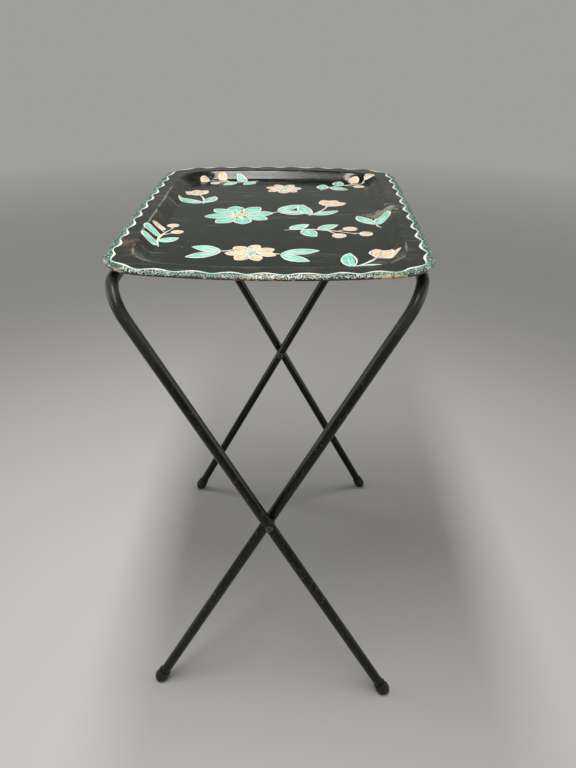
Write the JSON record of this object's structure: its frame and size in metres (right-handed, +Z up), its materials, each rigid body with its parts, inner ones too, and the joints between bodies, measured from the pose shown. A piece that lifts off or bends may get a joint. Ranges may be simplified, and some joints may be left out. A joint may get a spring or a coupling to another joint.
{
  "type": "folding tv tray table",
  "caption": "Folding tv tray table: dished black enamel tray with a scalloped painted border on two crossed U frames of bent tube that fold about side rivets.",
  "frame": {"origin": "on the floor, under the middle of the tray and of the four feet", "axes": "+X across the crossed legs, towards the feet of the outer frame; +Y along the top bars, towards the rear of the picture; +Z up"},
  "size_m": [0.364, 0.508, 0.6525],
  "materials": {
    "tray_enamel": "semi-gloss black enamel, scuffed, with painted decoration",
    "leg_enamel": "gloss black enamel, lightly chipped",
    "rivet_enamel": "black enamel worn on the dome",
    "clip_steel": "dull zinc-plated spring steel",
    "washer_steel": "dull plated steel",
    "foot_rubber": "matt black moulded rubber, dusty"
  },
  "bodies": {
    "outer_frame": {"outer_leg_frame": "leg_enamel", "pivot_rivet_front": "rivet_enamel", "pivot_rivet_rear": "rivet_enamel", "pivot_spacer_front": "washer_steel", "pivot_spacer_rear": "washer_steel", "pivot_washer_front": "washer_steel", "pivot_washer_rear": "washer_steel", "outer_foot_front": "foot_rubber", "outer_foot_rear": "foot_rubber", "outer_foot_disc_front": "washer_steel", "outer_foot_disc_rear": "washer_steel"},
    "inner_frame": {"inner_leg_frame": "leg_enamel", "inner_foot_front": "foot_rubber", "inner_foot_rear": "foot_rubber", "inner_foot_disc_front": "washer_steel", "inner_foot_disc_rear": "washer_steel"},
    "tray_top": {"tray": "tray_enamel", "hinge_clip_front": "clip_steel", "hinge_clip_rear": "clip_steel", "hook_clip_front": "clip_steel", "hook_clip_rear": "clip_steel"}
  },
  "joints": [
    {"name": "leg_fold", "type": "hinge", "parent": "outer_frame", "child": "inner_frame", "pos_m": [0, 0, 0.3175], "axis": [0, -1, 0], "range_deg": [0, 53]},
    {"name": "tray_swing", "type": "hinge", "parent": "outer_frame", "child": "tray_top", "pos_m": [-0.1674, 0, 0.631], "axis": [0, -1, 0], "range_deg": [0, 117]}
  ],
  "couplings": [
    {"joint": "tray_swing", "follows": "leg_fold", "ratio": 2.2}
  ]
}
